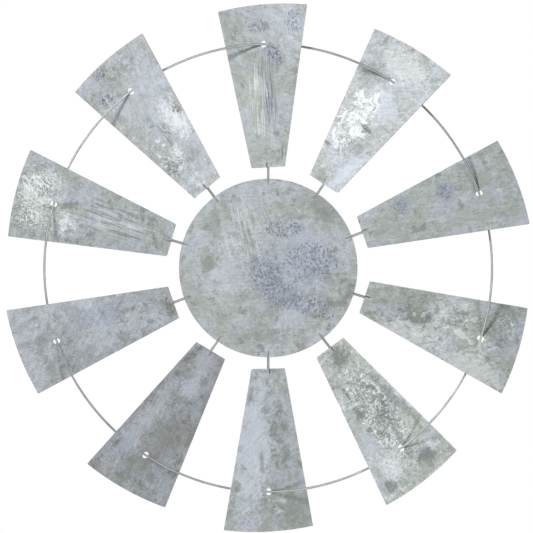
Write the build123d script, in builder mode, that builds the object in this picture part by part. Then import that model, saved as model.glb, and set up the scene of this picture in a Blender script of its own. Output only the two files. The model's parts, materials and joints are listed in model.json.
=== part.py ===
"""Garden windmill: a ten-vane wheel of galvanised sheet that spins on a wall-mounted axle.

Frame: the origin is on the spin axis, on the back face of the wall plate. +Y points into the
wall and +Z is up, so the front of the wheel faces -Y. Angles round the wheel are counted
clockwise from the top, as seen from the front. Sizes are millimetres, angles are degrees.
"""

import os
from math import cos, degrees, radians, sin, sqrt, tan

from build123d import *

# ---- wheel ----
WHEEL_RADIUS = 304.0  # to the middle of a vane's outer edge
VANE_COUNT = 10
VANE_PLANE = 45.0  # from the wall to the vanes' centre lines
RUNNING_FIT = 0.03  # radial clearance of the axle in its bushes
SEAT_GAP = 0.05  # between a rod and the sheet it is welded to

# ---- vane: flat sheet, wider towards its outer end ----
VANE_SHEET = 0.8
VANE_PITCH = 32.0  # the clockwise edge stands forward
VANE_ROOT_GAP = 13.0  # from the centre disc's rim to the inner edge
VANE_ROOT_WIDTH = 45.0
VANE_TIP_WIDTH = 121.0
VANE_TIP_ARC = 430.0  # radius of the outer edge
VANE_CORNER = 1.2
# the wheel is welded up by eye, so each vane stands and leans a little differently
STATION_ERROR = [0, -2.6, -2.8, -1.2, -1.8, 0, -1.2, -2, -2, -1.2]  # off an even spacing
VANE_LEAN = [-2.2, 0.5, 2.4, 2.8, 2.5, -0.2, -2.8, 1.7, 1.1, -1.2]  # off the spoke's line

# ---- rim: one wire threaded through every vane ----
RIM_INSET = 46.0  # from the vanes' outer edges to the wire
RIM_WIRE = 2.6
RIM_HOLE_CLEARANCE = 0.9  # round the wire where it slants through the sheet
RIM_WELD_LENGTH = 5.0
RIM_WELD_BUILD = 0.5  # how far the bead stands out of the wire
RIM_WELD_ANGLE = 185.0  # behind the lowest vane's forward half

# ---- spokes ----
SPOKE_ROD = 3.0
SPOKE_INNER_RADIUS = 20.0
SPOKE_OVERLAP = 12.0  # how far a spoke runs behind its vane
SPOKE_CHAMFER = 0.3
WELD_THROAT = 1.6  # size of the small fillet beads
WELD_BEAD_LENGTH = 6.0

# ---- slot welds: a spoke is welded through a short slot in each sheet's edge ----
SLOT_WIDTH = 1.6
VANE_SLOT_LENGTH = 5.5
DISC_SLOT_LENGTH = 7.0
SLOT_WELD_RECESS = 0.1  # below the front of the sheet
SLOT_WELD_WRAP = 0.25  # how far the weld metal closes round the spoke

# ---- centre disc ----
DISC_RADIUS = 103.0
DISC_SHEET = 0.8

# ---- hub ----
HUB_PLATE_RADIUS = 36.0
HUB_PLATE_THICKNESS = 2.0
HUB_BEAD_EDGE_DISTANCE = 7.0
AXLE_DIAMETER = 10.0
BUSH_WALL = 2.0
BUSH_FLANGE_RIM = 2.5  # how far the flange stands out past the bush
BUSH_FLANGE_THICKNESS = 1.5
SLEEVE_WALL = 5.0
WASHER_THICKNESS = 1.2
WASHER_CLEARANCE = 0.15
END_PLAY = 0.25  # along the axle, between the bush flange and the washer
AXLE_END_GAP = 2.0  # from the axle's end to the hub plate
HUB_WELD_LEG = 2.5

# ---- retaining screw: a dog point in a groove of the axle ----
SCREW_DIAMETER = 5.0
SCREW_SOCKET = 2.5  # hexagon across flats
SCREW_SOCKET_DEPTH = 2.2
SCREW_RECESS = 0.4  # below the sleeve's surface, and short of its bore
DOG_DIAMETER = 3.0
DOG_CLEARANCE = 0.5  # on each side in the groove, and at its floor
GROOVE_DEPTH = 1.5
SCREW_ANGLE = 18.0  # between two spokes
SCREW_MARGIN = 0.5  # from the screw's hole to the bushes on each side

# ---- wall plate and axle root ----
WALL_PLATE_RADIUS = 47.5
WALL_PLATE_THICKNESS = 3.0
WALL_HOLE = 5.5
WALL_HOLE_EDGE_DISTANCE = 10.5  # from the plate's rim to a hole's centre
WALL_HOLE_COUNT = 4
SHOULDER_STEP = 3.0  # how far the shoulder stands out past the axle
SHOULDER_LENGTH = 6.0
AXLE_WELD_LEG = 3.0
EDGE_BREAK = 0.8

# ---- places round and across the wheel ----
vane_root_radius = DISC_RADIUS + VANE_ROOT_GAP
vane_length = WHEEL_RADIUS - vane_root_radius
tip_rise = VANE_TIP_ARC - sqrt(VANE_TIP_ARC**2 - (VANE_TIP_WIDTH / 2) ** 2)
rim_radius = WHEEL_RADIUS - RIM_INSET
wire_radius = RIM_WIRE / 2
stations = []
for vane_index in range(VANE_COUNT):
    error = STATION_ERROR[vane_index % len(STATION_ERROR)]
    lean = VANE_LEAN[vane_index % len(VANE_LEAN)]
    stations.append((vane_index * 360 / VANE_COUNT + error, lean))

# ---- places along the axis, as distances in front of the wall ----
largest_lean = max(abs(lean) for lean in VANE_LEAN)
root_gap = SEAT_GAP + SPOKE_OVERLAP * tan(radians(largest_lean)) * tan(radians(VANE_PITCH))
spoke_drop = (SPOKE_ROD + VANE_SHEET) / 2 / cos(radians(VANE_PITCH)) + root_gap
spoke_plane = VANE_PLANE - spoke_drop
disc_back = spoke_plane + SPOKE_ROD / 2 + SEAT_GAP
disc_middle = disc_back + DISC_SHEET / 2
hub_plate_front = spoke_plane - SPOKE_ROD / 2 - SEAT_GAP
hub_plate_back = hub_plate_front - HUB_PLATE_THICKNESS
shoulder_front = WALL_PLATE_THICKNESS + SHOULDER_LENGTH
washer_front = shoulder_front + WASHER_THICKNESS
flange_back = washer_front + END_PLAY
sleeve_back = flange_back + BUSH_FLANGE_THICKNESS
axle_end = hub_plate_back - AXLE_END_GAP
front_bush_front = axle_end - EDGE_BREAK
bush_gap = SCREW_DIAMETER + 2 * SCREW_MARGIN
bush_length = (front_bush_front - sleeve_back - bush_gap) / 2
groove_place = (sleeve_back + front_bush_front) / 2

# ---- radii of the hub ----
axle_radius = AXLE_DIAMETER / 2
bush_bore = axle_radius + RUNNING_FIT
bush_radius = bush_bore + BUSH_WALL
flange_radius = bush_radius + BUSH_FLANGE_RIM
sleeve_radius = bush_radius + SLEEVE_WALL
shoulder_radius = axle_radius + SHOULDER_STEP

# ---- where a spoke comes nearest to its vane, from the vane's centre line ----
slot_across = -spoke_drop * sin(radians(VANE_PITCH))
spoke_behind_vane = spoke_drop * cos(radians(VANE_PITCH)) - SPOKE_ROD / 2

# ---- the hole that lets the slanting wire through a vane ----
rim_hole = (RIM_WIRE + VANE_SHEET * cos(radians(VANE_PITCH))) / sin(radians(VANE_PITCH))
rim_hole += 2 * RIM_HOLE_CLEARANCE


def outward(angle, lean=0.0):
    """Direction that points away from the axis at a clockwise angle from the top."""
    turn = radians(angle + lean)
    return Vector(sin(turn), 0, cos(turn))


def clockwise(angle, pitch=0.0):
    """Direction of clockwise travel, tipped forward by the pitch."""
    turn, tip = radians(angle), radians(pitch)
    return Vector(cos(turn) * cos(tip), -sin(tip), -sin(turn) * cos(tip))


def in_front(distance, radius=0.0, angle=0.0):
    """Point at a distance in front of the wall and a radius from the axis."""
    return outward(angle) * radius + Vector(0, -distance, 0)


def facing_front(distance):
    """Sketch plane parallel to the wall, seen from the front, at a distance before the wall."""
    return Plane(origin=(0, -distance, 0), x_dir=(1, 0, 0), z_dir=(0, -1, 0))


def vane_plane(station, lean):
    """Plane of a vane's middle: origin on its inner edge, X across it, Y along it."""
    root = in_front(VANE_PLANE, vane_root_radius, station)
    across = clockwise(station + lean, VANE_PITCH)
    along = outward(station, lean)
    return Plane(origin=root, x_dir=across, z_dir=across.cross(along))


def rim_crossing(lean):
    """Distance from a vane's inner edge, along its centre line, to the rim's circle."""
    tilt = radians(lean)
    return sqrt(rim_radius**2 - (vane_root_radius * sin(tilt)) ** 2) - vane_root_radius * cos(tilt)


def finish(piece, name):
    """Name a finished piece and write it."""
    piece.part.label = name
    export_step(piece.part, f"parts/{name}.step")
    return piece.part


def add_ring(inner, outer, back, front):
    """Add a plain ring round the axle to a part, between two distances before the wall."""
    with BuildSketch(facing_front(back)) as section:
        Circle(outer)
        Circle(inner, mode=Mode.SUBTRACT)
    extrude(section.sketch, amount=front - back)


def fillet_ring(radius, leg, face, forward=1):
    """Triangular weld bead round a shaft, on a face at a distance before the wall.

    The bead grows forward from the face, or back from it if forward is -1.
    """
    with BuildPart() as piece:
        with BuildSketch(Plane.XY):
            with BuildLine():
                Polyline(
                    (radius, -face),
                    (radius + leg, -face),
                    (radius, -face - forward * leg),
                    close=True,
                )
            make_face()
        revolve(axis=Axis.Y)
    return piece


def rod_beads(angle, radius, sheet_face):
    """Fillet beads along both sides of a spoke, on a plate in front of it or behind it."""
    start = in_front(spoke_plane, radius - WELD_BEAD_LENGTH / 2, angle)
    to_sheet = spoke_plane - sheet_face  # in the section, where +Y points into the wall
    reach = SPOKE_ROD / 2 + WELD_THROAT
    with BuildPart() as beads:
        with BuildSketch(Plane(origin=start, x_dir=clockwise(angle), z_dir=outward(angle))):
            with BuildLine():
                Polyline((-reach, to_sheet), (reach, to_sheet), (0, -to_sheet / 8), close=True)
            make_face()
            Circle(SPOKE_ROD / 2, mode=Mode.SUBTRACT)
        extrude(amount=WELD_BEAD_LENGTH)
    return beads.part


def vane_slot_plane(station, lean):
    """Plane of a vane's middle, with its origin where the slot meets the inner edge."""
    middle = vane_plane(station, lean)
    edge = middle.from_local_coords((slot_across, 0, 0))
    return Plane(origin=edge, x_dir=middle.x_dir, z_dir=middle.z_dir)


def disc_slot_plane(station):
    """Plane of the disc's middle, with its origin on the rim and Y towards the axis."""
    edge = in_front(disc_middle, DISC_RADIUS, station)
    return Plane(origin=edge, x_dir=-clockwise(station), z_dir=(0, -1, 0))


def slot_outline(plane, length, start=0.0):
    """Outline of a slot with a round end, along the plane's Y."""
    with BuildSketch(plane) as outline:
        with Locations((0, (start + length) / 2)):
            Rectangle(SLOT_WIDTH, length - start)
        with Locations((0, length)):
            Circle(SLOT_WIDTH / 2)
    return outline.sketch


def slot_weld(outline, sheet, rod_distance, spoke):
    """Weld metal that fills a slot and closes round the spoke behind it."""
    with BuildPart() as weld:
        extrude(outline, amount=sheet / 2 - SLOT_WELD_RECESS)
        extrude(outline, amount=-(rod_distance + SLOT_WELD_WRAP))
        add(spoke, mode=Mode.SUBTRACT)
    return weld.part


os.makedirs("parts", exist_ok=True)

# ================= spokes: each lies behind its vane's root =================
spokes = []
for number, (station, lean) in enumerate(stations, start=1):
    with BuildPart() as spoke:
        inner_end = in_front(spoke_plane, SPOKE_INNER_RADIUS, station)
        with BuildSketch(Plane(origin=inner_end, z_dir=outward(station))):
            Circle(SPOKE_ROD / 2)
        extrude(amount=vane_root_radius + SPOKE_OVERLAP - SPOKE_INNER_RADIUS)
        chamfer(spoke.edges().filter_by(GeomType.CIRCLE), SPOKE_CHAMFER)
    spokes.append(finish(spoke, f"spoke_{number:02d}"))

# ================= vanes =================
for number, (station, lean) in enumerate(stations, start=1):
    with BuildPart() as vane:
        with BuildSketch(vane_plane(station, lean)):
            with BuildLine():
                inner_corner = (VANE_ROOT_WIDTH / 2, 0)
                outer_corner = (VANE_TIP_WIDTH / 2, vane_length - tip_rise)
                inner_edge = Line((-inner_corner[0], 0), inner_corner)
                Line(inner_edge @ 1, outer_corner)
                ThreePointArc(outer_corner, (0, vane_length), (-outer_corner[0], outer_corner[1]))
                Line((-outer_corner[0], outer_corner[1]), inner_edge @ 0)
            sheet = make_face()
            fillet(sheet.vertices(), VANE_CORNER)
            with Locations((0, rim_crossing(lean))):
                Circle(rim_hole / 2, mode=Mode.SUBTRACT)
        extrude(amount=VANE_SHEET / 2, both=True)
        slot = slot_outline(vane_slot_plane(station, lean), VANE_SLOT_LENGTH, start=-SLOT_WIDTH)
        extrude(slot, amount=VANE_SHEET, both=True, mode=Mode.SUBTRACT)
    finish(vane, f"vane_{number:02d}")

with BuildPart() as root_welds:
    for (station, lean), rod in zip(stations, spokes):
        outline = slot_outline(vane_slot_plane(station, lean), VANE_SLOT_LENGTH)
        add(slot_weld(outline, VANE_SHEET, spoke_behind_vane, rod))
finish(root_welds, "root_welds")

# ================= rim: a wire ring, closed by one weld =================
weld_half_angle = degrees(RIM_WELD_LENGTH / 2 / rim_radius)
wheel_axis = Axis((0, -VANE_PLANE, 0), (0, 1, 0))


def wire_section(angle):
    """Plane across the rim wire at a clockwise angle from the top."""
    return Plane(origin=in_front(VANE_PLANE, rim_radius, angle), z_dir=clockwise(angle))


with BuildPart() as rim_wire:
    with BuildSketch(wire_section(RIM_WELD_ANGLE + weld_half_angle)):
        Circle(wire_radius)
    revolve(axis=wheel_axis, revolution_arc=360 - 2 * weld_half_angle)
finish(rim_wire, "rim_wire")

with BuildPart() as rim_weld:
    with BuildSketch(wire_section(RIM_WELD_ANGLE - weld_half_angle)):
        Circle(wire_radius + RIM_WELD_BUILD)
    revolve(axis=wheel_axis, revolution_arc=2 * weld_half_angle)
    chamfer(rim_weld.edges().filter_by(GeomType.CIRCLE), RIM_WELD_BUILD)
finish(rim_weld, "rim_weld")

# ================= centre disc, in front of the spokes =================
with BuildPart() as centre_disc:
    with BuildSketch(facing_front(disc_back)):
        Circle(DISC_RADIUS)
    extrude(amount=DISC_SHEET)
    for station, lean in stations:
        slot = slot_outline(disc_slot_plane(station), DISC_SLOT_LENGTH, start=-SLOT_WIDTH)
        extrude(slot, amount=DISC_SHEET, both=True, mode=Mode.SUBTRACT)
finish(centre_disc, "centre_disc")

with BuildPart() as disc_welds:
    for (station, lean), rod in zip(stations, spokes):
        outline = slot_outline(disc_slot_plane(station), DISC_SLOT_LENGTH, start=SEAT_GAP)
        add(slot_weld(outline, DISC_SHEET, DISC_SHEET / 2 + SEAT_GAP, rod))
finish(disc_welds, "disc_welds")

# ================= hub, behind the spokes =================
with BuildPart() as hub_plate:
    with BuildSketch(facing_front(hub_plate_back)):
        Circle(HUB_PLATE_RADIUS)
    extrude(amount=HUB_PLATE_THICKNESS)
    chamfer(hub_plate.edges().group_by(Axis.Y)[-1], EDGE_BREAK)
finish(hub_plate, "hub_plate")

with BuildPart() as hub_welds:
    for station, lean in stations:
        add(rod_beads(station, HUB_PLATE_RADIUS - HUB_BEAD_EDGE_DISTANCE, hub_plate_front))
finish(hub_welds, "hub_welds")

screw_path = Plane(
    origin=in_front(groove_place, sleeve_radius, SCREW_ANGLE),
    x_dir=(0, 1, 0),
    z_dir=-outward(SCREW_ANGLE),
)

with BuildPart() as hub_sleeve:
    add_ring(bush_radius, sleeve_radius, sleeve_back, hub_plate_back)
    chamfer(hub_sleeve.edges().group_by(Axis.Y)[-1].sort_by(SortBy.LENGTH)[-1], EDGE_BREAK)
    with BuildSketch(screw_path):
        Circle(SCREW_DIAMETER / 2)
    extrude(amount=sleeve_radius, mode=Mode.SUBTRACT)
finish(hub_sleeve, "hub_sleeve")

finish(fillet_ring(sleeve_radius, HUB_WELD_LEG, hub_plate_back, forward=-1), "sleeve_weld")

with BuildPart() as front_bush:
    add_ring(bush_bore, bush_radius, front_bush_front - bush_length, front_bush_front)
finish(front_bush, "front_bush")

with BuildPart() as rear_bush:
    add_ring(bush_bore, bush_radius, sleeve_back, sleeve_back + bush_length)
    add_ring(bush_bore, flange_radius, flange_back, sleeve_back)
finish(rear_bush, "rear_bush")

# the screw stops inside the sleeve, and only its dog point reaches the groove
thread_length = SLEEVE_WALL - SCREW_RECESS
dog_reach = sleeve_radius - (axle_radius - GROOVE_DEPTH + DOG_CLEARANCE)
with BuildPart() as retaining_screw:
    with BuildSketch(screw_path.offset(SCREW_RECESS)):
        Circle(SCREW_DIAMETER / 2)
    extrude(amount=thread_length - SCREW_RECESS)
    with BuildSketch(screw_path.offset(SCREW_RECESS)):
        Circle(DOG_DIAMETER / 2)
    extrude(amount=dog_reach - SCREW_RECESS)
    with BuildSketch(screw_path.offset(SCREW_RECESS)):
        RegularPolygon(SCREW_SOCKET / 2, 6, major_radius=False)
    extrude(amount=SCREW_SOCKET_DEPTH, mode=Mode.SUBTRACT)
finish(retaining_screw, "retaining_screw")

# ================= wall plate and axle, which stay still =================
wall_hole_ring = WALL_PLATE_RADIUS - WALL_HOLE_EDGE_DISTANCE
with BuildPart() as wall_plate:
    with BuildSketch(facing_front(0)):
        Circle(WALL_PLATE_RADIUS)
        with PolarLocations(wall_hole_ring, WALL_HOLE_COUNT, start_angle=45):
            Circle(WALL_HOLE / 2, mode=Mode.SUBTRACT)
    extrude(amount=WALL_PLATE_THICKNESS)
    front_rims = wall_plate.edges().group_by(Axis.Y)[0]
    chamfer(front_rims.sort_by(SortBy.LENGTH)[-1], EDGE_BREAK)
finish(wall_plate, "wall_plate")

groove_back = groove_place - DOG_DIAMETER / 2 - DOG_CLEARANCE
groove_front = groove_place + DOG_DIAMETER / 2 + DOG_CLEARANCE
with BuildPart() as axle:
    for radius, back, front in (
        (shoulder_radius, WALL_PLATE_THICKNESS, shoulder_front),
        (axle_radius, shoulder_front, groove_back),
        (axle_radius - GROOVE_DEPTH, groove_back, groove_front),
        (axle_radius, groove_front, axle_end),
    ):
        with BuildSketch(facing_front(back)):
            Circle(radius)
        extrude(amount=front - back)
    chamfer(axle.edges().group_by(Axis.Y)[0], EDGE_BREAK)
finish(axle, "axle")

finish(fillet_ring(shoulder_radius, AXLE_WELD_LEG, WALL_PLATE_THICKNESS), "axle_weld")

washer_bore = axle_radius + WASHER_CLEARANCE
with BuildPart() as thrust_washer:
    add_ring(washer_bore, flange_radius, shoulder_front, washer_front)
finish(thrust_washer, "thrust_washer")
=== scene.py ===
"""Looks of the garden windmill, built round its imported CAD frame. Blender 4.5, metres, Z up."""

import json
import math

import bmesh
import bpy
import numpy as np
from mathutils import Matrix, Vector, noise
from mathutils.geometry import delaunay_2d_cdt


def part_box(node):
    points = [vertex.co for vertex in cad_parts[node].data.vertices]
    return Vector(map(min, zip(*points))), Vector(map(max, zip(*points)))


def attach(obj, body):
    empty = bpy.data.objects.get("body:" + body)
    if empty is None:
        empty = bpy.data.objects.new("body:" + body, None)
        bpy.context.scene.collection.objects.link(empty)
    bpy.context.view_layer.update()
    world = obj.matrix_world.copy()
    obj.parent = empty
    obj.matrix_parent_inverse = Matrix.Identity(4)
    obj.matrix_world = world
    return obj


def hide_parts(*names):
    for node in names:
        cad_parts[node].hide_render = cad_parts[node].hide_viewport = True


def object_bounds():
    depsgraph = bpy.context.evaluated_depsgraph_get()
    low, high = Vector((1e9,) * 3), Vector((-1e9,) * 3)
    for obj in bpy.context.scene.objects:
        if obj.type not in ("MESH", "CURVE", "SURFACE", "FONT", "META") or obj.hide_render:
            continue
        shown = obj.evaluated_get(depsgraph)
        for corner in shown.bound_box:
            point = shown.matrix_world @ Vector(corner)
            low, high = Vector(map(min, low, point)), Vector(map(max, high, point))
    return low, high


MM = 0.001
PLACE = "sheet_place"  # holds each sheet's own coordinates

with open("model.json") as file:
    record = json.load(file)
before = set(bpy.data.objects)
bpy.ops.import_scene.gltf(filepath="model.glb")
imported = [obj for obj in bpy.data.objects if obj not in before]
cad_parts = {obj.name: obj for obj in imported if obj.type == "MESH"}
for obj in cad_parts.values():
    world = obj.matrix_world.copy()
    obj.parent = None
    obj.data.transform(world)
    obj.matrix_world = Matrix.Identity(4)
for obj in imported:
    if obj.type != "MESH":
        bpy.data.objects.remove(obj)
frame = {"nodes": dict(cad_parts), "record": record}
cad_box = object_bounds()
nodes = frame["nodes"]
scene = bpy.context.scene


# ------------------------------------------------------------------ camera, light and stage
LENS = 232.0
SENSOR = 36.0
CAMERA_DISTANCE = 3.96  # from the plane of the vanes
CAMERA_RIGHT = -2.0 * MM
CAMERA_UP = 1.7 * MM
BACKDROP_STRENGTH = 1.0  # white seen behind the object
AMBIENT_STRENGTH = 0.055
# softboxes: name, place, side of the square and power in watts
SOFTBOXES = [
    ("key", (-1.15, -2.5, 1.1), 0.6, 90),
    ("fill", (1.35, -2.55, -0.7), 0.6, 42),
    ("back_left", (-2.0, 2.4, 1.2), 1.2, 95),
    ("back_right", (2.0, 2.4, 0.6), 1.2, 65),
]
FLOOR_DROP = 0.9  # below the lowest vane
FLOOR_RADIUS = 1.7
FLOOR_SIDES = 128


def aim(obj, target):
    """Turn a lamp or camera towards a point."""
    direction = Vector(target) - obj.location
    obj.rotation_euler = direction.to_track_quat("-Z", "Y").to_euler()


def add_camera(vane_plane):
    """Camera that looks straight at the front of the wheel."""
    data = bpy.data.cameras.new("camera")
    data.sensor_width = SENSOR
    data.lens = LENS
    data.clip_end = 50.0
    camera = bpy.data.objects.new("camera", data)
    scene.collection.objects.link(camera)
    camera.location = (CAMERA_RIGHT, vane_plane - CAMERA_DISTANCE, CAMERA_UP)
    camera.rotation_euler = (math.radians(90), 0, 0)
    scene.camera = camera


def add_softbox(name, location, size, power):
    """Square studio softbox that faces the middle of the wheel."""
    data = bpy.data.lights.new(name, "AREA")
    data.shape = "SQUARE"
    data.size = size
    data.energy = power
    lamp = bpy.data.objects.new(name, data)
    scene.collection.objects.link(lamp)
    lamp.location = location
    aim(lamp, (0, 0, 0))


def set_world(camera_strength, light_strength):
    """White surroundings, brighter behind the object than on it."""
    world = bpy.data.worlds.new("studio")
    scene.world = world
    world.use_nodes = True
    tree = world.node_tree
    tree.nodes.clear()
    path = tree.nodes.new("ShaderNodeLightPath")
    seen = tree.nodes.new("ShaderNodeBackground")
    lit = tree.nodes.new("ShaderNodeBackground")
    mix = tree.nodes.new("ShaderNodeMixShader")
    out = tree.nodes.new("ShaderNodeOutputWorld")
    seen.inputs["Strength"].default_value = camera_strength
    lit.inputs["Strength"].default_value = light_strength
    seen.inputs["Color"].default_value = (1, 1, 1, 1)
    lit.inputs["Color"].default_value = (0.985, 1.0, 0.99, 1)
    tree.links.new(path.outputs["Is Camera Ray"], mix.inputs[0])
    tree.links.new(lit.outputs[0], mix.inputs[1])
    tree.links.new(seen.outputs[0], mix.inputs[2])
    tree.links.new(mix.outputs[0], out.inputs["Surface"])


# ------------------------------------------------------------------ node helpers
class Tree:
    """Short way to write a material's node tree."""

    def __init__(self, name):
        self.material = bpy.data.materials.new(name)
        self.material.use_nodes = True
        self.nodes = self.material.node_tree.nodes
        self.links = self.material.node_tree.links
        self.shader = self.nodes["Principled BSDF"]
        self.place = self.add("ShaderNodeTexCoord").outputs["Object"]

    def add(self, kind, **settings):
        node = self.nodes.new(kind)
        for key, value in settings.items():
            setattr(node, key, value)
        return node

    def feed(self, socket, value):
        """Link an output to a socket, or set a plain value on it."""
        if isinstance(value, bpy.types.NodeSocket):
            self.links.new(value, socket)
        else:
            socket.default_value = value

    def math(self, operation, a, b=0.0, clamp=False):
        node = self.add("ShaderNodeMath", operation=operation, use_clamp=clamp)
        self.feed(node.inputs[0], a)
        self.feed(node.inputs[1], b)
        return node.outputs[0]

    def ramp(self, value, low, high, out_low=0.0, out_high=1.0):
        """Smooth step of a value between two limits."""
        node = self.add("ShaderNodeMapRange", interpolation_type="SMOOTHSTEP")
        self.feed(node.inputs["Value"], value)
        self.feed(node.inputs["From Min"], low)
        self.feed(node.inputs["From Max"], high)
        self.feed(node.inputs["To Min"], out_low)
        self.feed(node.inputs["To Max"], out_high)
        return node.outputs["Result"]

    def mapped(self, move=(0, 0, 0), turn=0.0, scale=(1, 1, 1), vector=None):
        """Coordinates moved to a point, turned about Z and stretched."""
        node = self.add("ShaderNodeMapping", vector_type="TEXTURE")
        self.feed(node.inputs["Vector"], vector or self.place)
        node.inputs["Location"].default_value = move
        node.inputs["Rotation"].default_value = (0, 0, math.radians(turn))
        node.inputs["Scale"].default_value = scale
        return node.outputs["Vector"]

    def noise(self, size, detail=6.0, rough=0.55, bend=0.0, vector=None, seed=0.0):
        """Cloudy noise whose blotches are about size millimetres across."""
        node = self.add("ShaderNodeTexNoise", noise_dimensions="4D")
        self.feed(node.inputs["Vector"], vector or self.place)
        node.inputs["W"].default_value = seed
        node.inputs["Scale"].default_value = 1.0 / (size * MM)
        node.inputs["Detail"].default_value = detail
        node.inputs["Roughness"].default_value = rough
        node.inputs["Distortion"].default_value = bend
        return node.outputs["Fac"]

    def mix(self, share, a, b):
        """Blend two colours."""
        node = self.add("ShaderNodeMix", data_type="RGBA")
        self.feed(node.inputs["Factor"], share)
        self.feed(node.inputs[6], a)
        self.feed(node.inputs[7], b)
        return node.outputs[2]

    def bump(self, height, distance, strength=1.0, normal=None):
        node = self.add("ShaderNodeBump")
        node.inputs["Distance"].default_value = distance
        node.inputs["Strength"].default_value = strength
        self.feed(node.inputs["Height"], height)
        if normal:
            self.feed(node.inputs["Normal"], normal)
        return node.outputs["Normal"]


def grey(level, tint=(1.0, 1.0, 1.0)):
    """Linear colour from a display grey of 0 to 255."""
    share = level / 255
    linear = share / 12.92 if share <= 0.04045 else ((share + 0.055) / 1.055) ** 2.4
    return (linear * tint[0], linear * tint[1], linear * tint[2], 1.0)


GREEN_GREY = (0.95, 1.03, 0.985)
OLIVE_GREY = (0.95, 1.035, 0.945)
LILAC = (0.925, 0.99, 1.095)
COOL = (0.965, 1.01, 1.02)
SAGE = (0.975, 1.02, 0.93)
INDIGO = (0.82, 0.93, 1.3)

# kinds of patch on the zinc: form, tint, display grey, size of its marks in mm, their softness,
# and how many times longer than wide the marks are along the patch's length
PATCHES = {
    "olive": ("blob", OLIVE_GREY, 130, 9.0, 0.5, 1.0),
    "dark": ("blob", OLIVE_GREY, 100, 5.0, 0.3, 1.0),
    "lilac": ("blob", LILAC, 194, 14.0, 0.7, 1.0),
    "pale": ("blob", COOL, 206, 8.0, 0.45, 1.0),
    "grey": ("blob", GREEN_GREY, 148, 14.0, 0.7, 1.0),
    "green": ("blob", SAGE, 172, 16.0, 1.0, 1.0),
    "white": ("blob", COOL, 234, 7.0, 1.2, 1.0),
    "mottle": ("blot", OLIVE_GREY, 128, 6.0, 0.1, 1.0),
    "swirl": ("blot", COOL, 236, 17.0, 0.07, 1.0),
    "stain": ("blot", OLIVE_GREY, 124, 15.0, 0.09, 1.0),
    "cloud": ("blot", COOL, 228, 9.0, 0.16, 1.0),
    "salt": ("blot", COOL, 244, 2.8, 0.08, 1.0),
    "pepper": ("blot", OLIVE_GREY, 104, 3.0, 0.08, 1.0),
    "indigo": ("blot", INDIGO, 108, 2.5, 0.1, 1.4),
    "blue": ("blob", INDIGO, 156, 7.0, 0.6, 1.0),
    "veins": ("vein", OLIVE_GREY, 100, 9.0, 0.022, 1.0),
    "frost": ("vein", COOL, 244, 10.0, 0.024, 1.0),
    "pale_lines": ("blot", COOL, 216, 1.8, 0.14, 22.0),
    "lilac_lines": ("blot", LILAC, 206, 4.5, 0.16, 12.0),
    "blue_lines": ("blot", INDIGO, 112, 1.8, 0.12, 16.0),
    "dark_lines": ("blot", OLIVE_GREY, 118, 2.6, 0.14, 14.0),
    "scratches": ("vein", COOL, 242, 8.0, 0.02, 6.0),
    "scores": ("vein", OLIVE_GREY, 100, 9.0, 0.016, 6.0),
}


def zinc_patch(t, ground, patch, seed, fine, gain):
    """Lay one patch over the ground colour of a sheet."""
    kind, x, y, half_y, half_x, turn, strength = patch
    form, tint, level, size, soft, stretch = PATCHES[kind]
    local = t.mapped((x * MM, y * MM, 0), turn, (half_x * MM, half_y * MM, 1.0))
    radius = t.add("ShaderNodeVectorMath", operation="LENGTH")
    t.feed(radius.inputs[0], local)
    radius = radius.outputs["Value"]
    marks = t.mapped((0, 0, 0), turn, (1.0, stretch, 1.0)) if stretch > 1 else None
    rough = 0.62 if form == "vein" else 0.72
    pattern = t.noise(size, 8, rough, 1.2 / stretch, marks, seed)
    if form == "blob":
        # one patch with a ragged edge, a few islands and gaps that let the ground through
        ragged = t.math("MULTIPLY", t.math("SUBTRACT", pattern, 0.5), 4.0)
        ragged = t.math("ADD", ragged, t.math("MULTIPLY", t.math("SUBTRACT", fine, 0.5), 2.6))
        reach = t.math("ADD", t.math("SUBTRACT", 1.1, radius), ragged)
        share = t.math("MULTIPLY", t.ramp(reach, 0.0, soft), t.ramp(fine, 0.64, 0.44, 0.6, 1.0))
    else:
        zone = t.ramp(radius, 1.3, 0.4)
        if form == "vein":
            away = t.math("ABSOLUTE", t.math("SUBTRACT", pattern, 0.5))
            share = t.math("MULTIPLY", t.ramp(away, soft, 0.0), zone)
        else:
            limit = t.math("SUBTRACT", 0.74, t.math("MULTIPLY", zone, 0.27))
            share = t.ramp(t.math("SUBTRACT", pattern, limit), 0.0, soft)
    share = t.math("MULTIPLY", share, strength, clamp=True)
    return t.mix(share, ground, grey(level * gain, tint))


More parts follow.
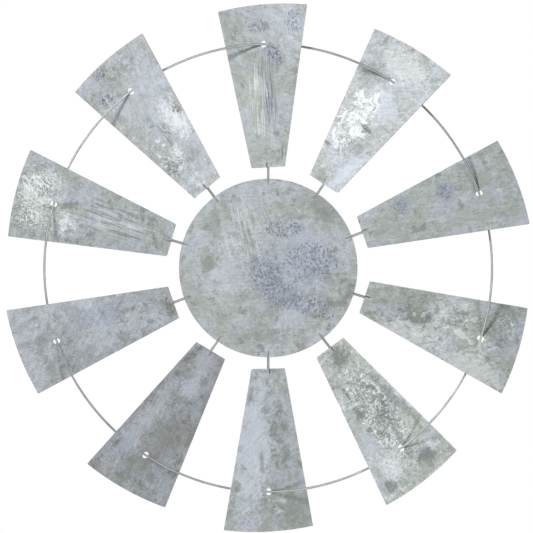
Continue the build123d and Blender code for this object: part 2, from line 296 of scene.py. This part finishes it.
def zinc(
    name, seed, level=168, tint=GREEN_GREY, cloud=0.5, blotch=0.4, speckle=0.2, gain=1.0, patches=()
):
    """Weathered galvanised sheet.

    cloud and blotch are how much of it pale bloom and olive blotches cover, speckle is how
    strongly crystals show, and gain scales the greys of the patches. Each patch is a kind, its
    middle in mm, its half length and half width in mm, the turn of its length from the sheet's
    Y axis in degrees, anticlockwise, and its strength.
    """
    t = Tree(name)
    t.place = t.add("ShaderNodeAttribute", attribute_name=PLACE).outputs["Vector"]
    broad = t.noise(48, 8, 0.62, 0.5, None, seed)
    middle = t.noise(12, 9, 0.7, 0.35, None, seed + 3)
    fine = t.noise(3.0, 5, 0.75, 0.5, None, seed + 5)
    grain = t.noise(1.2, 3, 0.6, 0.0, None, seed + 7)
    hue = t.noise(34, 8, 0.62, 0.4, None, seed + 11)
    swirl = t.noise(9.0, 7, 0.72, 0.6, None, seed + 17)
    strokes = t.noise(2.2, 4, 0.6, 0.1, t.mapped((0, 0, 0), seed * 7, (1, 9, 1)), seed + 19)

    ground = t.mix(t.ramp(hue, 0.45, 0.55), grey(level - 4, tint), grey(level + 10, LILAC))

    # olive blotches where the zinc has dulled
    worn = t.math("ADD", t.math("MULTIPLY", middle, 0.7), t.math("MULTIPLY", broad, 0.3))
    edge = 0.38 + 0.14 * blotch
    olive = t.math("MULTIPLY", t.ramp(worn, edge + 0.03, edge - 0.03), 0.85)
    ground = t.mix(olive, ground, grey(level - 32, OLIVE_GREY))

    # pale bloom with a crystalline edge
    bloom = t.math("ADD", t.math("MULTIPLY", broad, 0.4), t.math("MULTIPLY", middle, 0.6))
    bloom = t.math("ADD", bloom, t.math("MULTIPLY", t.math("SUBTRACT", fine, 0.5), 0.25))
    edge = 0.64 - 0.14 * cloud
    bloom_share = t.math("MULTIPLY", t.ramp(bloom, edge - 0.02, edge + 0.05), 0.8)
    ground = t.mix(bloom_share, ground, grey(min(level + 46, 244), COOL))

    # crystals, pinholes and fine veins
    spots = t.math("MULTIPLY", t.ramp(fine, 0.48, 0.34), speckle, clamp=True)
    ground = t.mix(spots, ground, grey(level - 44, OLIVE_GREY))
    glints = t.math("MULTIPLY", t.ramp(fine, 0.53, 0.67), speckle, clamp=True)
    ground = t.mix(glints, ground, grey(min(level + 60, 250), COOL))
    for place, thread, tint_of_thread in ((0.53, level - 38, OLIVE_GREY), (0.45, level + 40, COOL)):
        away = t.math("ABSOLUTE", t.math("SUBTRACT", swirl, place))
        threads = t.math("MULTIPLY", t.ramp(away, 0.022, 0.0), 0.42 + 0.4 * speckle, clamp=True)
        ground = t.mix(threads, ground, grey(min(thread, 250), tint_of_thread))

    for index, patch in enumerate(patches):
        ground = zinc_patch(t, ground, patch, seed + 20 + 2 * index, fine, gain)

    # the finest grain and brush marks only lighten or darken what is there
    brushed = t.math("MULTIPLY", t.math("SUBTRACT", strokes, 0.5), 0.6)
    dusting = t.math("MULTIPLY", t.math("SUBTRACT", grain, 0.5), 0.62)
    shade = t.math("ADD", t.math("ADD", 1.0, dusting), brushed)
    tone = t.add("ShaderNodeVectorMath", operation="SCALE")
    t.feed(tone.inputs[0], ground)
    t.feed(tone.inputs["Scale"], shade)
    t.feed(t.shader.inputs["Base Color"], tone.outputs[0])
    t.shader.inputs["Metallic"].default_value = 0.3
    dull = t.ramp(broad, 0.35, 0.65, 0.62, 0.52)
    dull = t.math("ADD", dull, t.math("MULTIPLY", t.math("SUBTRACT", fine, 0.5), 0.3))
    dull = t.math("ADD", dull, t.math("MULTIPLY", bloom_share, 0.06), clamp=True)
    t.feed(t.shader.inputs["Roughness"], dull)
    relief = t.math("ADD", t.math("MULTIPLY", fine, 0.7), t.math("MULTIPLY", grain, 0.3))
    normal = t.bump(relief, 0.08 * MM, 0.8)
    normal = t.bump(middle, 0.3 * MM, 0.35, normal)
    t.feed(t.shader.inputs["Normal"], normal)
    return t.material


def drawn_wire(name, level, seed):
    """Galvanised wire, slightly cloudy, with a few small nicks."""
    t = Tree(name)
    tone = t.noise(14, 5, 0.6, 0.3, None, seed)
    nick = t.noise(3.5, 4, 0.6, 0.0, None, seed + 2)
    colour = t.mix(t.ramp(tone, 0.35, 0.65), grey(level - 7, GREEN_GREY), grey(level + 7, COOL))
    colour = t.mix(t.ramp(nick, 0.36, 0.24, 0, 0.2), colour, grey(level - 60, OLIVE_GREY))
    t.feed(t.shader.inputs["Base Color"], colour)
    t.shader.inputs["Metallic"].default_value = 0.6
    t.feed(t.shader.inputs["Roughness"], t.ramp(tone, 0.3, 0.7, 0.56, 0.48))
    t.feed(t.shader.inputs["Normal"], t.bump(nick, 0.02 * MM, 0.2))
    return t.material


def plated(name, level, seed):
    """Zinc-plated steel with a fine grain and a faint passivate tint."""
    t = Tree(name)
    tone = t.noise(22, 5, 0.55, 0.4, None, seed)
    grain = t.noise(1.1, 3, 0.6, 0.0, None, seed + 1)
    colour = t.mix(t.ramp(tone, 0.35, 0.65), grey(level - 12, GREEN_GREY), grey(level + 12, LILAC))
    t.feed(t.shader.inputs["Base Color"], colour)
    t.shader.inputs["Metallic"].default_value = 1.0
    t.feed(t.shader.inputs["Roughness"], t.ramp(grain, 0.3, 0.7, 0.28, 0.44))
    t.feed(t.shader.inputs["Normal"], t.bump(grain, 0.03 * MM, 0.5))
    return t.material


def weld_metal(name):
    """Rippled weld metal, stained brown and blue by the heat."""
    t = Tree(name)
    ripple = t.noise(1.6, 4, 0.6, 0.4, None, 2.0)
    stain = t.noise(5, 4, 0.6, 0.3, None, 5.0)
    colour = t.mix(t.ramp(stain, 0.4, 0.6), grey(104, (1.04, 1.0, 0.94)), grey(128, LILAC))
    colour = t.mix(t.ramp(ripple, 0.55, 0.7, 0, 0.6), colour, grey(182, COOL))
    t.feed(t.shader.inputs["Base Color"], colour)
    t.shader.inputs["Metallic"].default_value = 0.9
    t.feed(t.shader.inputs["Roughness"], t.ramp(ripple, 0.3, 0.7, 0.6, 0.38))
    t.feed(t.shader.inputs["Normal"], t.bump(ripple, 0.25 * MM, 0.8))
    return t.material


def bronze(name):
    """Oily sintered bronze with fine pores."""
    t = Tree(name)
    pores = t.noise(0.7, 3, 0.6, 0.0, None, 1.0)
    tone = t.noise(6, 4, 0.5, 0.2, None, 4.0)
    colour = t.mix(t.ramp(tone, 0.35, 0.65), (0.3, 0.17, 0.07, 1), (0.42, 0.26, 0.12, 1))
    t.feed(t.shader.inputs["Base Color"], colour)
    t.shader.inputs["Metallic"].default_value = 1.0
    t.feed(t.shader.inputs["Roughness"], t.ramp(pores, 0.3, 0.7, 0.32, 0.5))
    t.feed(t.shader.inputs["Normal"], t.bump(pores, 0.04 * MM, 0.6))
    return t.material


def nylon(name):
    """Natural nylon, slightly cloudy."""
    t = Tree(name)
    tone = t.noise(4, 4, 0.5, 0.2, None, 3.0)
    colour = t.mix(t.ramp(tone, 0.3, 0.7), (0.66, 0.64, 0.55, 1), (0.76, 0.74, 0.66, 1))
    t.feed(t.shader.inputs["Base Color"], colour)
    t.feed(t.shader.inputs["Roughness"], t.ramp(tone, 0.3, 0.7, 0.45, 0.6))
    t.feed(t.shader.inputs["Normal"], t.bump(tone, 0.02 * MM, 0.4))
    return t.material


def pale_floor():
    t = Tree("pale_floor")
    tone = t.noise(400, 4, 0.5, 0.0, None, 1.0)
    t.feed(t.shader.inputs["Base Color"], t.mix(tone, grey(236), grey(242)))
    t.shader.inputs["Roughness"].default_value = 0.8
    return t.material


def set_material(obj, material):
    obj.data.materials.clear()
    obj.data.materials.append(material)


# ------------------------------------------------------------------ sheet metal
SHEET_STEP = 3.5 * MM  # size of the sheet's mesh
ROW_STEP = SHEET_STEP * 0.866  # rows of even triangles
EDGE_MARGIN = SHEET_STEP * 0.6  # no inner point is nearer an outline than this
EDGE_ROUND = 0.12 * MM
SHARP_EDGE = math.radians(35)
RIM_ANGLE = math.radians(60)  # edges sharper than this are the sheet's own edges
WAVE = 0.35 * MM  # how far the sheet wanders from flat
LONG_WAVE = 70.0 * MM
SHORT_WAVE = 25.0 * MM
SHORT_WAVE_SHARE = 0.3
WAVE_FADE = 14.0 * MM  # it is flat at an edge or a hole, and wanders fully this far from it
RING_SEGMENTS = 900
WIRE_SEGMENTS = 20


def merged(node):
    """The CAD mesh of a node with its split vertices joined."""
    mesh = bmesh.new()
    mesh.from_mesh(nodes[node].data)
    bmesh.ops.remove_doubles(mesh, verts=mesh.verts, dist=1e-6)
    return mesh


def disc_frame(node):
    """Axes of the disc: X right, Y up, Z out of its front, and its thickness."""
    low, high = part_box(node)
    matrix = Matrix(((1, 0, 0), (0, 0, -1), (0, 1, 0))).to_4x4()
    matrix.translation = (0, (low.y + high.y) / 2, 0)
    return matrix, high.y - low.y


def sheet_axes(mesh):
    """Front normal, middle plane point and thickness of a flat sheet."""
    faces = sorted(mesh.faces, key=lambda f: f.calc_area())
    normal = faces[-1].normal.copy()
    if normal.y > 0:
        normal.negate()
    depths = [v.co.dot(normal) for v in mesh.verts]
    return normal, (min(depths) + max(depths)) / 2, max(depths) - min(depths)


def vane_matrix(mesh):
    """Axes of a vane: X clockwise, Y outward along its centre line, Z out of its front."""
    normal, depth, thickness = sheet_axes(mesh)
    places = [v.co for v in mesh.verts]
    middle = sum(places, Vector()) / len(places)
    outward = Vector((middle.x, 0, middle.z))
    for _ in range(3):
        outward = (outward - normal * outward.dot(normal)).normalized()
        across = outward.cross(normal)

        def corner(clockwise, out):
            return max(places, key=lambda p: clockwise * p.dot(across) + out * p.dot(outward))

        tip = (corner(1, 0) + corner(-1, 0)) / 2
        root = (corner(1, -3) + corner(-1, -3)) / 2
        outward = tip - root
    outward = (outward - normal * outward.dot(normal)).normalized()
    across = outward.cross(normal)
    matrix = Matrix((across, outward, normal)).transposed().to_4x4()
    matrix.translation = root + normal * (depth - root.dot(normal))
    return matrix, thickness


def outlines(mesh, matrix, thickness):
    """Closed outlines of the sheet's front face, in the sheet's own axes."""
    inverse = matrix.inverted()
    front = []
    for face in mesh.faces:
        if all(abs((inverse @ v.co).z - thickness / 2) < 0.01 * MM for v in face.verts):
            front.append(face)
    chosen = set(front)
    follow = {}
    for face in front:
        for loop in face.loops:
            partners = [f for f in loop.edge.link_faces if f in chosen]
            if len(partners) == 1:
                follow[loop.vert] = loop.link_loop_next.vert
    loops = []
    while follow:
        start, current = follow.popitem()
        ring = [start]
        while current != start:
            ring.append(current)
            current = follow.pop(current)
        loops.append([(inverse @ v.co).to_2d() for v in ring])
    return loops


def resampled(ring, step):
    """The outline with no side longer than the step."""
    points = []
    for a, b in zip(ring, ring[1:] + ring[:1]):
        count = max(1, math.ceil((b - a).length / step))
        points += [a.lerp(b, i / count) for i in range(count)]
    return points


def inside(rings, x, y):
    """Which of the points lie on the sheet, by crossings of its outlines."""
    odd = np.zeros(x.shape, bool)
    for ring in rings:
        for a, b in zip(ring, ring[1:] + ring[:1]):
            if a.y == b.y:
                continue
            crosses = (a.y > y) != (b.y > y)
            odd ^= crosses & (x < (b.x - a.x) * (y - a.y) / (b.y - a.y) + a.x)
    return odd


def edge_distance(rings, x, y):
    """Distance of each point from the nearest outline."""
    nearest = np.full(x.shape, np.inf)
    for ring in rings:
        for a, b in zip(ring, ring[1:] + ring[:1]):
            side = b - a
            share = ((x - a.x) * side.x + (y - a.y) * side.y) / max(side.length_squared, 1e-18)
            share = np.clip(share, 0, 1)
            away = np.hypot(x - a.x - share * side.x, y - a.y - share * side.y)
            nearest = np.minimum(nearest, away)
    return nearest


def triangulated(rings):
    """Even triangles over the sheet: their corners and faces."""
    points = np.array([tuple(p) for ring in rings for p in ring])
    low, high = points.min(0), points.max(0)
    rows = np.arange(low[1], high[1], ROW_STEP)
    x, y = np.meshgrid(np.arange(low[0] - SHEET_STEP, high[0], SHEET_STEP), rows)
    x = x + (np.arange(len(rows)) % 2)[:, None] * SHEET_STEP / 2
    x, y = x.ravel(), y.ravel()
    keep = inside(rings, x, y)
    keep[keep] = edge_distance(rings, x[keep], y[keep]) > EDGE_MARGIN
    flat = [Vector(p) for p in points] + [Vector(p) for p in zip(x[keep], y[keep])]
    sides = []
    start = 0
    for ring in rings:
        sides += [(start + i, start + (i + 1) % len(ring)) for i in range(len(ring))]
        start += len(ring)
    corners, _, faces, *_ = delaunay_2d_cdt(flat, sides, [], 0, 1e-9)
    corners = np.array([tuple(c) for c in corners])
    middles = np.array([corners[list(f)].mean(0) for f in faces])
    kept = inside(rings, middles[:, 0], middles[:, 1])
    turned = []
    for face, ok in zip(faces, kept):
        if ok:
            a, b, c = (Vector(corners[i]) for i in face)
            ahead = (b - a).cross(c - a) > 0
            turned.append(tuple(face) if ahead else tuple(reversed(face)))
    return corners, turned


def wander(corners, rings, seed):
    """How far each point of a sheet stands out of its flat plane."""
    depth = edge_distance(rings, corners[:, 0], corners[:, 1])
    fade = np.clip(depth / WAVE_FADE, 0, 1)
    fade = fade * fade * (3 - 2 * fade)
    heights = []
    for (x, y), share in zip(corners, fade):
        slow = noise.noise(Vector((x / LONG_WAVE, y / LONG_WAVE, seed)))
        quick = noise.noise(Vector((x / SHORT_WAVE, y / SHORT_WAVE, seed + 9)))
        heights.append(share * WAVE * (slow + SHORT_WAVE_SHARE * quick))
    return heights


def make_sheet(name, node, matrix, thickness, seed):
    """Sheet piece in place of a CAD node: fine mesh, rounded edges, its own coordinates kept."""
    rings = [resampled(ring, SHEET_STEP) for ring in outlines(merged(node), matrix, thickness)]
    corners, faces = triangulated(rings)
    heights = wander(corners, rings, seed)
    solid = bmesh.new()
    half = thickness / 2
    front = [solid.verts.new((x, y, half + h)) for (x, y), h in zip(corners, heights)]
    back = [solid.verts.new((x, y, -half + h)) for (x, y), h in zip(corners, heights)]
    followed = {(f[i], f[(i + 1) % 3]) for f in faces for i in range(3)}
    for face in faces:
        solid.faces.new([front[i] for i in face])
        solid.faces.new([back[i] for i in reversed(face)])
    for a, b in followed:
        if (b, a) not in followed:
            solid.faces.new((front[b], front[a], back[a], back[b]))
    rim = [e for e in solid.edges if e.calc_face_angle(0) > RIM_ANGLE]
    rim = [e for e in rim if abs(e.verts[0].co.z - e.verts[1].co.z) < half]
    bmesh.ops.bevel(solid, geom=rim, offset=EDGE_ROUND, segments=2, profile=0.5, affect="EDGES")
    bmesh.ops.recalc_face_normals(solid, faces=solid.faces)
    mesh = bpy.data.meshes.new(name)
    solid.to_mesh(mesh)
    solid.free()
    mesh.shade_smooth()
    mesh.set_sharp_from_angle(angle=SHARP_EDGE)
    local = np.zeros(len(mesh.vertices) * 3, np.float32)
    mesh.vertices.foreach_get("co", local)
    mesh.attributes.new(PLACE, "FLOAT_VECTOR", "POINT").data.foreach_set("vector", local)
    mesh.transform(matrix)
    sheet = bpy.data.objects.new(name, mesh)
    scene.collection.objects.link(sheet)
    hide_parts(node)
    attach(sheet, "rotor")
    return sheet


def make_ring(name, node):
    """Smooth wire ring in place of the CAD ring."""
    low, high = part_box(node)
    wire = (high.y - low.y) / 2
    radius = (high.x - low.x) / 2 - wire
    verts, faces = [], []
    for i in range(RING_SEGMENTS):
        turn = 2 * math.pi * i / RING_SEGMENTS
        ahead = (i + 1) % RING_SEGMENTS
        for j in range(WIRE_SEGMENTS):
            roll = 2 * math.pi * j / WIRE_SEGMENTS
            reach = radius + wire * math.cos(roll)
            depth = (low.y + high.y) / 2 + wire * math.sin(roll)
            verts.append((reach * math.sin(turn), depth, reach * math.cos(turn)))
            k = (j + 1) % WIRE_SEGMENTS
            here, there = i * WIRE_SEGMENTS, ahead * WIRE_SEGMENTS
            faces.append((here + j, here + k, there + k, there + j))
    mesh = bpy.data.meshes.new(name)
    mesh.from_pydata(verts, [], faces)
    mesh.shade_smooth()
    ring = bpy.data.objects.new(name, mesh)
    scene.collection.objects.link(ring)
    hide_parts(node)
    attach(ring, "rotor")
    return ring


# ------------------------------------------------------------------ the object
vane_looks = [
    dict(level=161, tint=GREEN_GREY, cloud=0.15, blotch=0.4, speckle=0.12, patches=[
        ("lilac", 30, 160, 34, 32, 0, 0.6),
        ("green", -12, 90, 110, 30, 0, 0.6),
        # the stain at (-20, 150) beside the hole is partly olive dulling and partly painted shadow
        # of the ring wire
        ("stain", -20, 150, 40, 26, 0, 0.4),
        ("pale_lines", -8, 76, 60, 22, 0, 0.7),
        ("dark_lines", -4, 60, 70, 28, 0, 0.4),
        ("blue_lines", 7, 86, 34, 5, 0, 1.0),
        ("blue_lines", 8, 70, 50, 14, 0, 0.8),
        ("blue_lines", -3, 78, 20, 9, 0, 0.9),
        ("blue_lines", 0, 120, 34, 30, 0, 0.6),
        ("indigo", 16, 130, 26, 11, 39, 1.0),
        ("indigo", -4, 162, 11, 28, 0, 0.8),
        ("indigo", 42, 166, 20, 20, 0, 0.8),
        ("blue_lines", -9, 131, 8, 5, 0, 0.9),
        ("indigo", -30, 98, 9, 6, 0, 0.7),
        ("indigo", -3, 17, 6, 5, 0, 0.8),
        ("blue_lines", 21, 18, 16, 4, -10, 0.8),
    ]),
    dict(level=172, tint=COOL, cloud=0.4, blotch=0.4, speckle=0.35, patches=[
        ("pale", 4, 164, 16, 34, 0, 0.6),
        # the olive patch at (-30, 138) beside the ring wire is partly dull olive zinc and partly
        # painted shadow of the ring wire
        ("olive", -30, 138, 15, 22, 0, 0.7),
        ("lilac", 16, 110, 24, 26, -14, 0.8),
        ("swirl", -14, 82, 60, 32, 0, 0.8),
        ("white", -10, 96, 30, 18, 0, 0.5),
        ("cloud", -12, 70, 56, 26, 0, 0.6),
        ("frost", -10, 80, 50, 28, 0, 0.7),
        ("veins", -10, 76, 46, 28, 0, 0.7),
        ("pepper", -6, 50, 20, 22, 0, 0.6),
        ("lilac", 18, 30, 30, 10, -12, 1.0),
        ("dark", 7, 80, 9, 2.4, 80, 0.8),
        ("dark", -27, 42, 5, 2, 90, 0.8),
        ("olive", 13, 55, 8, 8, 0, 0.6),
        ("olive", -10, 8, 6, 10, 0, 0.7),
    ]),
    dict(level=160, tint=GREEN_GREY, cloud=0.1, blotch=0.35, speckle=0.1, patches=[
        ("blue", -18, 106, 14, 14, 0, 0.4),
        ("indigo", -18, 104, 16, 18, 0, 0.8),
        ("blue", -18, 54, 12, 14, 0, 0.4),
        ("indigo", -16, 50, 14, 18, 0, 0.7),
        ("lilac_lines", 2, 20, 20, 8, 0, 0.6),
        ("grey", 26, 112, 22, 7, 0, 0.4),
    ]),
    dict(level=168, tint=OLIVE_GREY, cloud=0.35, blotch=0.45, speckle=0.2, patches=[
        ("olive", -30, 160, 20, 30, 0, 0.7),
        ("frost", -28, 166, 14, 24, 50, 0.7),
        ("pale", 42, 140, 46, 18, -6, 0.8),
        ("pale", -18, 106, 26, 24, 0, 0.7),
        ("mottle", -18, 112, 20, 24, 0, 0.7),
        ("pale", 30, 56, 36, 10, -10, 0.7),
        ("olive", 6, 68, 30, 14, -12, 1.0),
        ("scratches", -10, 120, 24, 24, -20, 0.4),
        ("swirl", 10, 100, 90, 40, 0, 0.45),
        ("stain", -16, 90, 70, 30, 0, 0.6),
    ]),
    dict(level=188, tint=OLIVE_GREY, cloud=0.6, blotch=0.5, speckle=0.5, patches=[
        ("lilac", 26, 116, 50, 22, -10, 0.7),
        ("stain", 0, 90, 90, 40, 0, 0.9),
        ("swirl", 0, 90, 80, 36, 0, 1.0),
        ("pepper", 0, 80, 70, 34, 0, 0.5),
        ("white", 26, 150, 16, 14, 0, 0.8),
        ("white", 2, 50, 26, 12, 0, 0.5),
        ("grey", -2, 146, 12, 12, 0, 0.7),
        ("cloud", -6, 60, 50, 24, 0, 0.5),
        ("frost", 14, 146, 24, 30, 0, 1.0),
        ("frost", -4, 90, 80, 36, 0, 0.8),
        ("veins", -4, 90, 80, 36, 0, 0.9),
        ("mottle", 0, 90, 80, 40, 0, 0.6),
        ("olive", -22, 166, 12, 16, 0, 0.9),
        ("olive", 40, 170, 8, 12, 0, 0.8),
        ("salt", -36, 158, 12, 7, 20, 0.8),
        ("olive", 18, 84, 9, 7, 0, 0.7),
        ("olive", -2, 14, 13, 16, 0, 0.9),
        ("olive", -32, 92, 40, 7, 12, 0.7),
    ]),
    dict(level=158, tint=GREEN_GREY, cloud=0.1, blotch=0.3, speckle=0.1, patches=[
        ("lilac", 22, 90, 110, 32, -6, 1.0),
        ("olive", -32, 164, 20, 26, 0, 0.6),
        ("stain", -16, 84, 60, 22, 6, 0.8),
        # the stain at (-10, 150) beside the hole is partly olive dulling and partly painted shadow
        # of the ring wire
        ("stain", -10, 150, 30, 40, 0, 0.5),
        ("olive", -23, 100, 11, 7, 0, 0.9),
        ("olive", -6, 70, 14, 6, 20, 0.9),
        ("olive", 2, 49, 5, 7, 0, 0.8),
        ("olive", -14, 42, 7, 5, 40, 0.7),
        ("olive", 9, 110, 14, 4, 0, 0.7),
        ("scratches", -16, 154, 8, 22, 80, 0.5),
        ("olive", 24, 30, 12, 3, -10, 0.6),
        ("pepper", 0, 3, 3, 24, 0, 0.7),
    ]),
    dict(level=137, gain=0.9, tint=COOL, cloud=0.1, blotch=0.4, speckle=0.12, patches=[
        ("lilac", 26, 110, 70, 16, -8, 0.7),
        ("lilac", -2, 50, 11, 24, 80, 0.8),
        ("olive", -6, 116, 30, 26, 0, 0.5),
        ("lilac", 0, 16, 18, 20, 0, 0.7),
        ("olive", 2, 65, 5, 20, 0, 0.7),
        ("olive", -38, 94, 20, 5, 12, 0.8),
        ("scores", -8, 112, 26, 30, 60, 0.5),
        ("stain", 0, 160, 30, 50, 0, 0.5),
        ("pepper", 0, 176, 8, 50, 0, 0.6),
        ("dark", -13, 172, 4, 3, 0, 0.5),
        ("blue", 30, 140, 30, 10, 0, 0.4),
    ]),
    dict(level=160, gain=0.97, tint=LILAC, cloud=0.2, blotch=0.5, speckle=0.2, patches=[
        ("olive", -34, 160, 7, 20, 0, 0.6),
        ("stain", 4, 156, 30, 44, 0, 0.5),
        ("veins", 4, 150, 30, 44, 0, 0.5),
        ("olive", -28, 118, 20, 14, 0, 0.4),
        ("olive", -24, 70, 8, 2.5, -60, 0.8),
        ("mottle", 0, 62, 8, 26, 0, 0.7),
        ("olive", 39, 157, 4, 3, 0, 0.8),
        ("olive", -15, 32, 7, 4, -30, 0.9),
        ("pepper", -4, 8, 7, 22, 0, 0.9),
        ("olive", -4, 6, 4, 8, 0, 0.7),
        ("blue", 14, 84, 30, 16, 0, 0.3),
    ]),
    dict(level=160, gain=0.97, tint=GREEN_GREY, cloud=0.2, blotch=0.45, speckle=0.2, patches=[
        ("lilac_lines", -2, 72, 66, 36, 2, 0.9),
        ("dark_lines", 4, 68, 66, 36, -4, 0.9),
        ("pale_lines", -6, 66, 44, 24, 0, 0.6),
        ("olive", 0, 166, 24, 52, 0, 0.7),
        ("swirl", 0, 162, 26, 50, 30, 0.35),
        ("frost", 20, 158, 20, 30, -30, 0.7),
        ("frost", -26, 166, 20, 24, 30, 1.0),
        ("scratches", 16, 164, 22, 30, -40, 1.0),
        ("white", 13, 178, 9, 3, 0, 0.7),
        ("frost", 0, 160, 40, 60, 34, 0.7),
        ("scratches", -14, 160, 24, 30, 34, 0.5),
        ("swirl", -20, 122, 14, 18, 0, 0.5),
        ("frost", -20, 122, 18, 20, -20, 0.8),
        ("olive", 4, 126, 14, 5, 28, 0.9),
        ("mottle", -6, 14, 12, 18, 0, 0.9),
    ]),
    dict(level=174, tint=COOL, cloud=0.35, blotch=0.35, speckle=0.25, patches=[
        ("lilac", 0, 120, 30, 40, 0, 0.5),
        ("white", 26, 86, 34, 18, 0, 0.85),
        ("cloud", 24, 84, 40, 24, 0, 0.6),
        ("swirl", -12, 54, 40, 26, 8, 0.65),
        ("cloud", 0, 16, 18, 18, 0, 0.7),
        ("pepper", 34, 94, 12, 10, 0, 0.9),
        ("veins", -16, 48, 24, 18, 0, 1.0),
        ("pepper", -20, 44, 16, 12, 0, 0.7),
        ("scores", 0, 80, 26, 12, 6, 1.0),
        ("grey", 16, 44, 14, 10, 0, 0.6),
        ("indigo", -18, 181, 10, 18, 0, 0.9),
        ("indigo", -32, 152, 12, 14, 0, 0.9),
        ("mottle", 4, 168, 18, 46, 0, 0.6),
    ]),
]

disc_look = dict(
    level=142, gain=0.87, tint=GREEN_GREY, cloud=0.1, blotch=0.5, speckle=0.05, patches=[
        ("green", 0, 0, 100, 100, 0, 0.5),
        ("stain", 0, 0, 120, 120, 0, 0.4),
        ("lilac", -48, -4, 40, 34, 0, 0.7),
        ("lilac", 34, 14, 44, 44, 0, 0.6),
        ("lilac", 20, -70, 20, 40, 60, 0.6),
        ("lilac_lines", -30, 40, 60, 50, 15, 0.4),
        ("indigo", 18, 45, 16, 34, 0, 1.0),
        ("indigo", 48, 8, 34, 50, 0, 1.0),
        ("indigo", -4, -4, 34, 30, 30, 1.0),
        ("indigo", 14, -30, 28, 32, -30, 1.0),
        ("indigo", 50, -44, 20, 44, -20, 1.0),
        ("blue", 24, 0, 60, 60, 0, 0.3),
        ("olive", -69, 6, 10, 10, 0, 0.9),
        ("olive", -30, 44, 10, 8, 0, 0.5),
        ("olive", 68, 66, 22, 16, 40, 0.7),
        ("olive", -66, 52, 16, 12, -40, 0.6),
        ("olive", 0, -78, 12, 34, 0, 0.6),
        ("pale_lines", -28, 36, 50, 26, 8, 0.5),
        ("scratches", -16, 44, 36, 40, 20, 0.3),
        ("scores", -6, 10, 40, 40, 60, 0.5),
    ],
)

slot_of = {part["node"]: part["material_slot"] for part in frame["record"]["subparts"]}
vane_names = sorted(name for name in nodes if name.startswith("vane_"))
for number, (node, look) in enumerate(zip(vane_names, vane_looks)):
    matrix, thickness = vane_matrix(merged(node))
    vane = make_sheet(node + "_sheet", node, matrix, thickness, 3.0 + number)
    set_material(vane, zinc("zinc_" + node, 10.0 + 7 * number, **look))

disc_matrix, disc_thickness = disc_frame("centre_disc")
disc = make_sheet("centre_disc_sheet", "centre_disc", disc_matrix, disc_thickness, 40.0)
set_material(disc, zinc("zinc_centre_disc", 91.0, **disc_look))

ring = make_ring("rim_wire_ring", "rim_wire")
set_material(ring, drawn_wire("rim_wire_zinc", 154, 9.0))

spoke_material = drawn_wire("spoke_wire", 140, 3.0)
weld_material = weld_metal("weld")
hardware = plated("zinc_plate", 178, 5.0)
bush_material = bronze("bush_bronze")
washer_material = nylon("washer_nylon")
finishes = {
    "galvanised_wire": spoke_material,
    "weld_metal": weld_material,
    "zinc_hardware": hardware,
    "bronze": bush_material,
    "nylon": washer_material,
}
for name, obj in nodes.items():
    if name in vane_names or name in ("centre_disc", "rim_wire"):
        continue
    set_material(obj, finishes[slot_of[name]])

level = cad_box[0].z - FLOOR_DROP
turns = [2 * math.pi * i / FLOOR_SIDES for i in range(FLOOR_SIDES)]
rim = [(FLOOR_RADIUS * math.cos(turn), FLOOR_RADIUS * math.sin(turn), level) for turn in turns]
floor_mesh = bpy.data.meshes.new("floor")
floor_mesh.from_pydata(rim, [], [tuple(range(FLOOR_SIDES))])
floor = bpy.data.objects.new("floor", floor_mesh)
scene.collection.objects.link(floor)
set_material(floor, pale_floor())

scene.view_settings.view_transform = "Standard"
set_world(BACKDROP_STRENGTH, AMBIENT_STRENGTH)
for softbox in SOFTBOXES:
    add_softbox(*softbox)
middle_vanes = sum((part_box(name)[0].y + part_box(name)[1].y) / 2 for name in vane_names)
add_camera(middle_vanes / len(vane_names))
